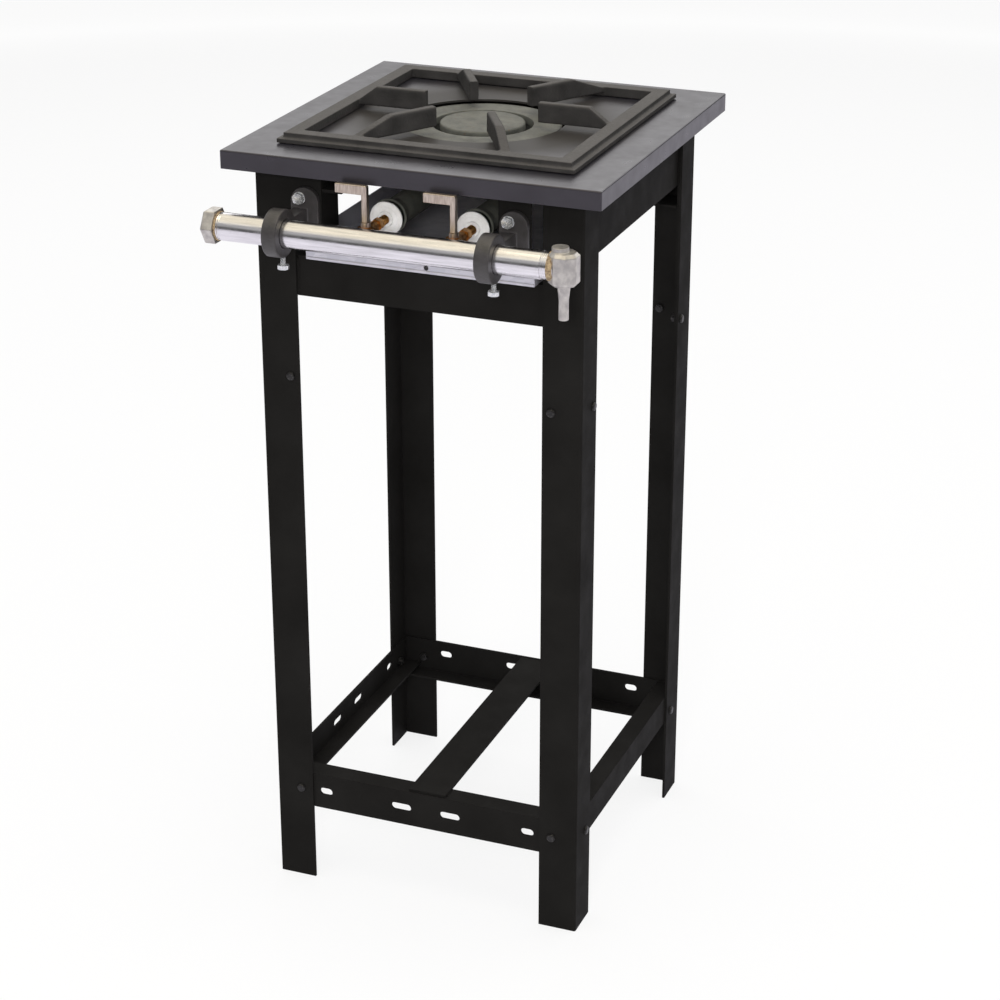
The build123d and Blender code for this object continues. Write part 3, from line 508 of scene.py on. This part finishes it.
# Hot-dip galvanised pipe, wiped along its length: a bright metal whose streaks of about 3 mm run
# lengthwise and blur what it mirrors.
galvanised_pipe = bare_material("wiped_galvanised_pipe")
where = node(galvanised_pipe, "Mapping", {
    "Vector": node(galvanised_pipe, "TexCoord", {}, "Object"), "Scale": (0.08, 1, 1)})
streak = node(galvanised_pipe, "TexNoise", {"Vector": where, "Scale": 1 / (3 * MM), "Detail": 4.0})
dross = node(galvanised_pipe, "TexNoise", {
    "Vector": node(galvanised_pipe, "TexCoord", {}, "Object"), "Scale": 1 / (7 * MM), "Detail": 4.0})
node(galvanised_pipe, "OutputMaterial", {"Surface": node(galvanised_pipe, "BsdfPrincipled", {
    "Base Color": node(galvanised_pipe, "Mix", {
        0: node(galvanised_pipe, "MapRange", {"Value": streak, "From Min": 0.3, "From Max": 0.7}),
        COLOUR_A: srgb("#EFEDEF"), COLOUR_B: srgb("#D8D6D8")}, COLOUR_MIXED, data_type="RGBA"),
    "Roughness": node(galvanised_pipe, "MapRange", {
        "Value": dross, "From Min": 0.3, "From Max": 0.7, "To Min": 0.16, "To Max": 0.26}),
    "Metallic": 1.0,
    "Normal": node(galvanised_pipe, "Bump", {"Height": streak, "Distance": 0.03 * MM}),
})})
finish(galvanised_pipe, "gas_rail")
rail_axis = at(0, RAIL_Y, RAIL_Z)
put_piece("rail_threads", [
    thread(rail_axis, ALONG, *PIPE_THREAD, low, high) for low, high in BARE_THREADS
], galvanised_pipe, "stand", sharp=20)

# Dried jointing paste: a brown-gold smear that is squeezed out of the joint in uneven lumps.
jointing_paste = bare_material("brown_jointing_paste")
where = node(jointing_paste, "TexCoord", {}, "Object")
lumps = node(jointing_paste, "TexNoise", {"Vector": where, "Scale": 1 / (2 * MM), "Detail": 3.0})
node(jointing_paste, "OutputMaterial", {"Surface": node(jointing_paste, "BsdfPrincipled", {
    "Base Color": node(jointing_paste, "Mix", {
        0: node(jointing_paste, "MapRange", {"Value": lumps, "From Min": 0.35, "From Max": 0.65}),
        COLOUR_A: srgb("#6E5A42"), COLOUR_B: srgb("#B09A78")}, COLOUR_MIXED, data_type="RGBA"),
    "Roughness": node(jointing_paste, "MapRange", {"Value": lumps, "To Min": 0.3, "To Max": 0.6}),
    "Normal": node(jointing_paste, "Bump", {"Height": lumps, "Distance": 0.3 * MM}),
})})


def paste_ring(low, high):
    """Paste round the rail between two places along it, thick and thin by turns."""
    def bulge(size):
        def radius(angle):
            return size + 0.35 * noise.noise(Vector((3 * math.cos(angle), 3 * math.sin(angle), low)))

        return radius

    rows = (
        (12.6, low), (bulge(13.9), low + 0.3), (bulge(14.1), (low + high) / 2),
        (bulge(13.6), high - 0.3), (12.6, high),
    )
    return skin([ring(rail_axis, ALONG, radius, along) for radius, along in rows])


put_piece("joint_paste", [
    paste_ring(low, high) for low, high in PASTED
], jointing_paste, "stand")

# ---- End cap and hose elbow ------------------------------------------------------------------
# Malleable iron fittings, zinc-plated dull: a hexagon cap on the left end of the rail and an
# octagonal elbow with a smooth hose tail on the right. Their edges are soft from the mould.

# Dull zinc on a fine casting: warm pale grey with cloudy patches and a satin, slightly grainy skin.
dull_zinc = bare_material("dull_zinc_on_malleable_iron")
where = node(dull_zinc, "TexCoord", {}, "Object")
patches = node(dull_zinc, "TexNoise", {"Vector": where, "Scale": 1 / (7 * MM), "Detail": 4.0})
drawn_down = node(dull_zinc, "Mapping", {"Vector": where, "Scale": (1, 1, 0.25)})
skin_grain = node(dull_zinc, "TexNoise", {"Vector": drawn_down, "Scale": 1 / (1.2 * MM), "Detail": 3.0})
node(dull_zinc, "OutputMaterial", {"Surface": node(dull_zinc, "BsdfPrincipled", {
    "Base Color": node(dull_zinc, "Mix", {
        0: node(dull_zinc, "MapRange", {"Value": patches, "From Min": 0.35, "From Max": 0.65}),
        COLOUR_A: srgb("#D3CFC9"), COLOUR_B: srgb("#B2AEAB")}, COLOUR_MIXED, data_type="RGBA"),
    "Roughness": node(dull_zinc, "MapRange", {"Value": skin_grain, "To Min": 0.32, "To Max": 0.55}),
    "Metallic": 0.85,
    "Normal": node(dull_zinc, "Bump", {"Height": skin_grain, "Distance": 0.1 * MM}),
})})
finish(dull_zinc, "rail_end_cap", "hose_elbow")
cast_form("rail_end_cap", "hose_elbow", grid=0.5, rounding=4, pits=0.12)

# ---- Rail clamps -----------------------------------------------------------------------------
# Cast rings round the rail, each with an ear bolted to its bracket and a set screw below. They are
# dipped in black enamel, and the bolts, washers and set screws are bright zinc.

CLAMPS = (-115.6, 95.2)
EAR_HOLE_Z = RAIL_Z + 21
EAR_FACE = -174.5
BRACKET_BACK = -166.0
SCREW_ASIDE = 4              # from the middle of the ring to its set screw
CLAMP_FLATS = 10.0           # bolts, nuts and set screws alike
EAR_THREAD = (2.6, 3.05, 1.0)
SET_THREAD = (2.05, 2.55, 0.9)
WASHER = ((5.7, 0.05), (6.0, 0.3), (6.0, 0.95), (5.7, 1.2))      # radius and height
FORWARD = (0, -1, 0)
BACKWARD = (0, 1, 0)

# Black enamel dipped over a casting: thicker than the sprayed coat, so it shines on the rounds.
dipped_enamel = bare_material("dipped_black_enamel")
where = node(dipped_enamel, "TexCoord", {}, "Object")
pooling = node(dipped_enamel, "TexNoise", {"Vector": where, "Scale": 1 / (9 * MM), "Detail": 3.0})
under = node(dipped_enamel, "TexNoise", {"Vector": where, "Scale": 1 / (1.8 * MM), "Detail": 3.0})
node(dipped_enamel, "OutputMaterial", {"Surface": node(dipped_enamel, "BsdfPrincipled", {
    "Base Color": node(dipped_enamel, "Mix", {
        0: node(dipped_enamel, "MapRange", {"Value": pooling, "From Min": 0.3, "From Max": 0.7}),
        COLOUR_A: srgb("#312F2E"), COLOUR_B: srgb("#3E3B3C")}, COLOUR_MIXED, data_type="RGBA"),
    "Roughness": node(dipped_enamel, "MapRange", {"Value": pooling, "To Min": 0.3, "To Max": 0.48}),
    "IOR": 1.55,
    "Normal": node(dipped_enamel, "Bump", {"Height": under, "Distance": 0.12 * MM}),
})})
finish(dipped_enamel, "rail_clamp_left", "rail_clamp_right")
cast_form("rail_clamp_left", "rail_clamp_right", grid=0.5, rounding=14, pits=0.25)
ear_bolts = []
ear_nuts = []
set_screws = []
for clamp_x in CLAMPS:
    seat = at(clamp_x, EAR_FACE, EAR_HOLE_Z)
    ear_bolts.append(skin([ring(seat, FORWARD, radius, along) for radius, along in WASHER]))
    ear_bolts.append(hexagon(seat, FORWARD, CLAMP_FLATS, 1.2, 5.2))
    back = at(clamp_x, BRACKET_BACK, EAR_HOLE_Z)
    ear_nuts.append(hexagon(back, BACKWARD, CLAMP_FLATS, SEAT_GAP, 5.0))
    ear_nuts.append(thread(back, BACKWARD, *EAR_THREAD, 4.5, 6.4))
    foot = at(clamp_x + SCREW_ASIDE, RAIL_Y, RAIL_Z)
    set_screws.append(thread(foot, DOWN, *SET_THREAD, 13.5, 30.6))
    set_screws.append(hexagon(foot, DOWN, CLAMP_FLATS, 30.4, 34.4))
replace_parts(put_piece("ear_bolts", ear_bolts, bright_zinc, "stand"), "clamp_bolts")
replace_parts(put_piece("ear_nuts", ear_nuts, bright_zinc, "stand"), "clamp_nuts")
screws = put_piece("set_screws", set_screws, bright_zinc, "stand")
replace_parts(screws, "clamp_set_screws")

# ---- Taps ------------------------------------------------------------------------------------
# Two brass taps screwed into the back of the rail. A turned plug goes up through each body, held
# from below by a spring and nut, and carries a bent lever of flat bar, plated in satin nickel.

VALVE_Y = -198.0
VALVE_Z = 730.0
VALVES = {"left": -37.2, "right": 51.0}
BODY_FOOT = VALVE_Z - 10.5   # underside of the body, where the spring starts
PLUG_NUT_FLATS = 9.0
TURNED_EDGE = 0.3 * MM

# Turned brass gone slightly brown: a warm metal with darker cloudy tarnish.
turned_brass = bare_material("turned_brass")
where = node(turned_brass, "TexCoord", {}, "Object")
tarnish = node(turned_brass, "TexNoise", {"Vector": where, "Scale": 1 / (3.5 * MM), "Detail": 4.0})
node(turned_brass, "OutputMaterial", {"Surface": node(turned_brass, "BsdfPrincipled", {
    "Base Color": node(turned_brass, "Mix", {
        0: node(turned_brass, "MapRange", {"Value": tarnish, "From Min": 0.35, "From Max": 0.65}),
        COLOUR_A: srgb("#D9A45F"), COLOUR_B: srgb("#A87238")}, COLOUR_MIXED, data_type="RGBA"),
    "Roughness": node(turned_brass, "MapRange", {"Value": tarnish, "To Min": 0.2, "To Max": 0.42}),
    "Metallic": 1.0,
})})
# Satin nickel plate on steel bar: a warm, soft metal with faint polishing lines along the bar.
satin_nickel = bare_material("satin_nickel_plate")
where = node(satin_nickel, "TexCoord", {}, "Object")
drawn_up = node(satin_nickel, "Mapping", {"Vector": where, "Scale": (1, 1, 0.15)})
polish = node(satin_nickel, "TexNoise", {"Vector": drawn_up, "Scale": 1 / (1.4 * MM), "Detail": 3.0})
node(satin_nickel, "OutputMaterial", {"Surface": node(satin_nickel, "BsdfPrincipled", {
    "Base Color": node(satin_nickel, "Mix", {
        0: node(satin_nickel, "MapRange", {"Value": polish, "From Min": 0.35, "From Max": 0.65}),
        COLOUR_A: srgb("#DACDBF"), COLOUR_B: srgb("#BFB0A2")}, COLOUR_MIXED, data_type="RGBA"),
    "Roughness": node(satin_nickel, "MapRange", {"Value": polish, "To Min": 0.26, "To Max": 0.42}),
    "Metallic": 1.0,
    "Normal": node(satin_nickel, "Bump", {"Height": polish, "Distance": 0.03 * MM}),
})})
# Drawn spring wire: dark oiled steel with a thin highlight along each coil.
spring_wire = bare_material("oiled_spring_wire")
oil = node(spring_wire, "TexNoise", {
    "Vector": node(spring_wire, "TexCoord", {}, "Object"), "Scale": 1 / (1 * MM), "Detail": 2.0})
node(spring_wire, "OutputMaterial", {"Surface": node(spring_wire, "BsdfPrincipled", {
    "Base Color": node(spring_wire, "Mix", {
        0: oil, COLOUR_A: srgb("#8C8A87"), COLOUR_B: srgb("#6A6866")}, COLOUR_MIXED, data_type="RGBA"),
    "Roughness": node(spring_wire, "MapRange", {"Value": oil, "To Min": 0.2, "To Max": 0.45}),
    "Metallic": 1.0,
})})
for side, valve_x in VALVES.items():
    finish(turned_brass, f"valve_body_{side}", f"valve_plug_{side}")
    finish(satin_nickel, f"lever_{side}")
    finish(spring_wire, f"plug_spring_{side}")
    ease_edges(TURNED_EDGE, f"valve_body_{side}", f"valve_plug_{side}")
    below = at(valve_x, VALVE_Y, BODY_FOOT)
    plug_nut = put_piece(f"plug_nut_hexagon_{side}", [
        hexagon(below, DOWN, PLUG_NUT_FLATS, 5.05, 7.4),
    ], bright_zinc, f"tap_{side}")
    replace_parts(plug_nut, f"plug_nut_{side}")

# ---- Jets and air discs ----------------------------------------------------------------------
# A brass jet is screwed into each tap, with a hexagon and a threaded spud. On the spud runs a
# turned aluminium disc, which is spun along it to open or shut the air into the mixing tube.

OUTLET_Y = -176.0
DISC_BACK = -150.0
JET_FLATS = 11.0
SPUD_THREAD = (4.05, 4.5, 1.0)
# Radius and reach of the jet's nose, from the end of its thread into the gas hole.
JET_NOSE = ((4.0, 28.2), (4.0, 29.4), (3.2, 30.0), (1.5, 30.0), (1.4, 27.0))
# Radius and height of the disc's section: bore, flat back, rim, turned step and hub.
DISC_SECTION = (
    (4.6, 0.0), (15.9, 0.0), (16.5, 0.4), (16.5, 1.7), (16.1, 2.0), (15.1, 2.0), (14.7, 1.55),
    (11.6, 1.5), (11.2, 1.75), (8.2, 1.75), (7.6, 2.1), (7.45, 4.5), (7.0, 5.0), (5.2, 5.0), (4.6, 4.6),
)

# Die-cast aluminium, faced in a lathe: pale and soft in its highlights. Its base colour is nearly
# white, paler than the metal itself: a painted highlight, so that it looks nearly white in the light.
aluminium_painted_white = bare_material("aluminium_painted_white")
where = node(aluminium_painted_white, "TexCoord", {}, "Object")
oxide_film = node(aluminium_painted_white, "TexNoise", {"Vector": where, "Scale": 1 / (5 * MM), "Detail": 3.0})
node(aluminium_painted_white, "OutputMaterial", {"Surface": node(aluminium_painted_white, "BsdfPrincipled", {
    "Base Color": node(aluminium_painted_white, "Mix", {
        0: node(aluminium_painted_white, "MapRange", {"Value": oxide_film, "From Min": 0.3, "From Max": 0.7}),
        # A near-white base colour, paler than aluminium: a painted highlight.
        COLOUR_A: srgb("#FCFBF9"), COLOUR_B: srgb("#F2F0ED")}, COLOUR_MIXED, data_type="RGBA"),
    "Roughness": node(aluminium_painted_white, "MapRange", {"Value": oxide_film, "To Min": 0.34, "To Max": 0.5}),
    "Metallic": 0.15,
})})
for side, valve_x in VALVES.items():
    outlet = at(valve_x, OUTLET_Y, VALVE_Z)
    jet = put_piece(f"jet_turned_{side}", [
        hexagon(outlet, BACKWARD, JET_FLATS, 0, 8.0),
        thread(outlet, BACKWARD, *SPUD_THREAD, 7.8, 28.4),
        skin([ring(outlet, BACKWARD, radius, along) for radius, along in JET_NOSE]),
    ], turned_brass, "stand")
    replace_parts(jet, f"jet_{side}")
    middle = at(valve_x, DISC_BACK, VALVE_Z)
    disc = put_piece(f"air_disc_turned_{side}", [
        skin([ring(middle, FORWARD, radius, along, 64) for radius, along in DISC_SECTION], hollow=True),
    ], aluminium_painted_white, f"air_{side}")
    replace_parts(disc, f"air_disc_{side}")

# ---- Drip tray -------------------------------------------------------------------------------
# A pan folded from 1 mm galvanised sheet that slides in over the crossbars. Its front wall is
# stiffened by two pressed strips, one at its foot and a broad one at its lip.

TRAY_FRONT = -170.0
TRAY_LEFT = -112.7
TRAY_RIGHT = 119.3
TRAY_LOW = 687.3
TRAY_FOLD = 0.4 * MM
STRIP_PROUD = 0.9
STRIP_SHORT = 0.4            # how far the strips stop before the corners
STRIP_BANDS = ((0, 2.6), (14.0, 22.4))

# Galvanised sheet: spangles 6 to 14 mm wide, each a slightly different grey, under a lavender sheen.
galvanised_sheet = bare_material("spangled_galvanised_sheet")
where = node(galvanised_sheet, "TexCoord", {}, "Object")
spangle = node(galvanised_sheet, "TexVoronoi", {"Vector": where, "Scale": 1 / (10 * MM)}, "Color")
smear = node(galvanised_sheet, "TexNoise", {"Vector": where, "Scale": 1 / (30 * MM), "Detail": 3.0})
node(galvanised_sheet, "OutputMaterial", {"Surface": node(galvanised_sheet, "BsdfPrincipled", {
    "Base Color": node(galvanised_sheet, "Mix", {
        0: spangle, COLOUR_A: srgb("#D6D4DC"), COLOUR_B: srgb("#C4C3CC"),
    }, COLOUR_MIXED, data_type="RGBA"),
    "Roughness": node(galvanised_sheet, "MapRange", {"Value": smear, "To Min": 0.28, "To Max": 0.42}),
    "Metallic": 0.5,
})})
finish(galvanised_sheet, "drip_tray")
ease_edges(TRAY_FOLD, "drip_tray")


def strip(x0, x1, y0, y1, z0, z1):
    """A thin pressed strip, its long edges eased."""
    edge = min(y1 - y0, z1 - z0) * 0.35
    section = (
        (y0 + edge, z0), (y1 - edge, z0), (y1, z0 + edge), (y1, z1 - edge),
        (y1 - edge, z1), (y0 + edge, z1), (y0, z1 - edge), (y0, z0 + edge),
    )
    return skin([[at(x, y, z) for y, z in section] for x in (x0, x1)])


put_piece("tray_hem", [
    strip(
        TRAY_LEFT + STRIP_SHORT, TRAY_RIGHT - STRIP_SHORT, TRAY_FRONT - STRIP_PROUD, TRAY_FRONT,
        TRAY_LOW + foot, TRAY_LOW + lip,
    ) for foot, lip in STRIP_BANDS
], galvanised_sheet, "tray")

# ---- Studio ----------------------------------------------------------------------------------
# A white floor and a white room, whose ceiling is cream. One soft lamp hangs overhead and one
# stands by the camera, and a ring of grey boards gives bright metal a horizon to mirror.

PICTURE_PX = 1000
FOCAL_PX = 2549.5            # the lens, in pixels of the picture
CAMERA_PLACE = (0.9074, -2.23025, 1.4346)
CAMERA_DOWN = 23.29          # degrees below level, and to the left of straight on
CAMERA_TURN = 21.50
SENSOR_MM = 36.0
FLOOR_HALF = 15              # metres, as is all of the studio
FLOOR_GLOW = 0.82            # share of the floor that is lit paper to the eye and in gloss
BOARDS_OUT = 4
BOARD_STEPS = 48
BOARD_FOOT = 0.25
BOARD_HEAD = 3.6

camera = bpy.data.objects.new("camera", bpy.data.cameras.new("camera"))
bpy.context.scene.collection.objects.link(camera)
camera.data.sensor_width = SENSOR_MM
camera.data.lens = FOCAL_PX / PICTURE_PX * SENSOR_MM
camera.location = CAMERA_PLACE
camera.rotation_euler = (math.radians(90 - CAMERA_DOWN), 0, math.radians(CAMERA_TURN))
camera.data.clip_end = 100
bpy.context.scene.camera = camera
bpy.context.scene.view_settings.view_transform = "Standard"


def stage_piece(name, corners, faces, material):
    """A piece of the studio, which isn't part of the range."""
    mesh = bpy.data.meshes.new(name)
    mesh.from_pydata(corners, [], faces)
    mesh.materials.append(material)
    piece = bpy.data.objects.new(name, mesh)
    bpy.context.scene.collection.objects.link(piece)
    return piece


# White floor paper: white to the eye and in gloss, with only the shadow to tone it.
floor_paper = bare_material("white_floor_paper")
paper = node(floor_paper, "BsdfPrincipled", {"Base Color": srgb("#F2F2F2"), "Roughness": 0.9})
seen = node(floor_paper, "Math", {
    0: node(floor_paper, "LightPath", {}, "Is Camera Ray"),
    1: node(floor_paper, "LightPath", {}, "Is Glossy Ray")}, operation="MAXIMUM")
share = node(floor_paper, "Math", {0: seen, 1: FLOOR_GLOW}, operation="MULTIPLY")
tint = node(floor_paper, "Mix", {
    0: node(floor_paper, "LightPath", {}, "Is Glossy Ray"),
    COLOUR_A: srgb("#FFFFFF"), COLOUR_B: srgb("#F3F0FB")}, COLOUR_MIXED, data_type="RGBA")
glow = node(floor_paper, "Emission", {"Color": tint, "Strength": 1.0})
node(floor_paper, "OutputMaterial", {
    "Surface": node(floor_paper, "MixShader", {0: share, 1: paper, 2: glow})})
stage_piece("floor", [
    (sx * FLOOR_HALF, sy * FLOOR_HALF, 0) for sx, sy in ((-1, -1), (1, -1), (1, 1), (-1, 1))
], [(0, 1, 2, 3)], floor_paper)

# Grey boards, dark at the foot, and paler above and to the rear. The camera doesn't see them.
board_paint = bare_material("grey_board")
spot = node(board_paint, "TexCoord", {}, "Object")
height = node(board_paint, "SeparateXYZ", {"Vector": spot}, "Z")
depth = node(board_paint, "SeparateXYZ", {"Vector": spot}, "Y")
paler = node(board_paint, "MapRange", {
    "Value": depth, "From Min": -1.5, "From Max": 1.5, "To Min": 0.44, "To Max": 1.75})
tone = node(board_paint, "MapRange", {
    "Value": height, "From Min": 1.3, "From Max": 2.0, "To Min": 0.1, "To Max": paler})
node(board_paint, "OutputMaterial", {"Surface": node(board_paint, "Emission", {
    "Color": srgb("#FFFFFF"), "Strength": tone})})
corners = []
faces = []
for level in (BOARD_FOOT, BOARD_HEAD):
    for step in range(BOARD_STEPS):
        angle = 2 * math.pi * step / BOARD_STEPS
        corners.append((BOARDS_OUT * math.cos(angle), BOARDS_OUT * math.sin(angle), level))
for step in range(BOARD_STEPS):
    beside = (step + 1) % BOARD_STEPS
    faces.append((step, beside, BOARD_STEPS + beside, BOARD_STEPS + step))
boards = stage_piece("grey_boards", corners, faces, board_paint)
boards.visible_camera = False
boards.visible_shadow = False

# The white room: gloss sees a cream ceiling in it, which gives the pipe its cream band.
world = bpy.data.worlds.new("white_room")
bpy.context.scene.world = world
world.use_nodes = True
world.node_tree.nodes.clear()
climb = node(world, "SeparateXYZ", {"Vector": node(world, "TexCoord", {}, "Generated")}, "Z")
overhead = node(world, "MapRange", {"Value": climb, "From Min": 0.4, "From Max": 0.8})
mirrored = node(world, "Math", {
    0: overhead, 1: node(world, "LightPath", {}, "Is Glossy Ray")}, operation="MULTIPLY")
ceiling = node(world, "Mix", {
    0: mirrored, COLOUR_A: srgb("#FFFFFF"), COLOUR_B: srgb("#FFF6DE")}, COLOUR_MIXED, data_type="RGBA")
node(world, "OutputWorld", {"Surface": node(world, "Background", {"Color": ceiling, "Strength": 1.0})})


def soft_lamp(name, spot, aim, size, watts, colour, mirrored):
    """A square soft box that faces a place on the range. Bright metal may mirror it or not."""
    data = bpy.data.lights.new(name, "AREA")
    data.size = size
    data.energy = watts
    data.color = srgb(colour)[:3]
    lamp = bpy.data.objects.new(name, data)
    lamp.location = spot
    lamp.rotation_euler = (Vector(aim) - Vector(spot)).to_track_quat("-Z", "Y").to_euler()
    lamp.visible_glossy = mirrored
    bpy.context.scene.collection.objects.link(lamp)


soft_lamp(
    "overhead_lamp", (0.1, -0.5, 2.9), aim=(0, 0, 0.7), size=1.3, watts=9, colour="#FFF1D6",
    mirrored=True)
soft_lamp(
    "camera_lamp", (0.75, -2.3, 1.5), aim=(0, -0.1, 0.7), size=0.6, watts=28, colour="#FFFFFF",
    mirrored=False)
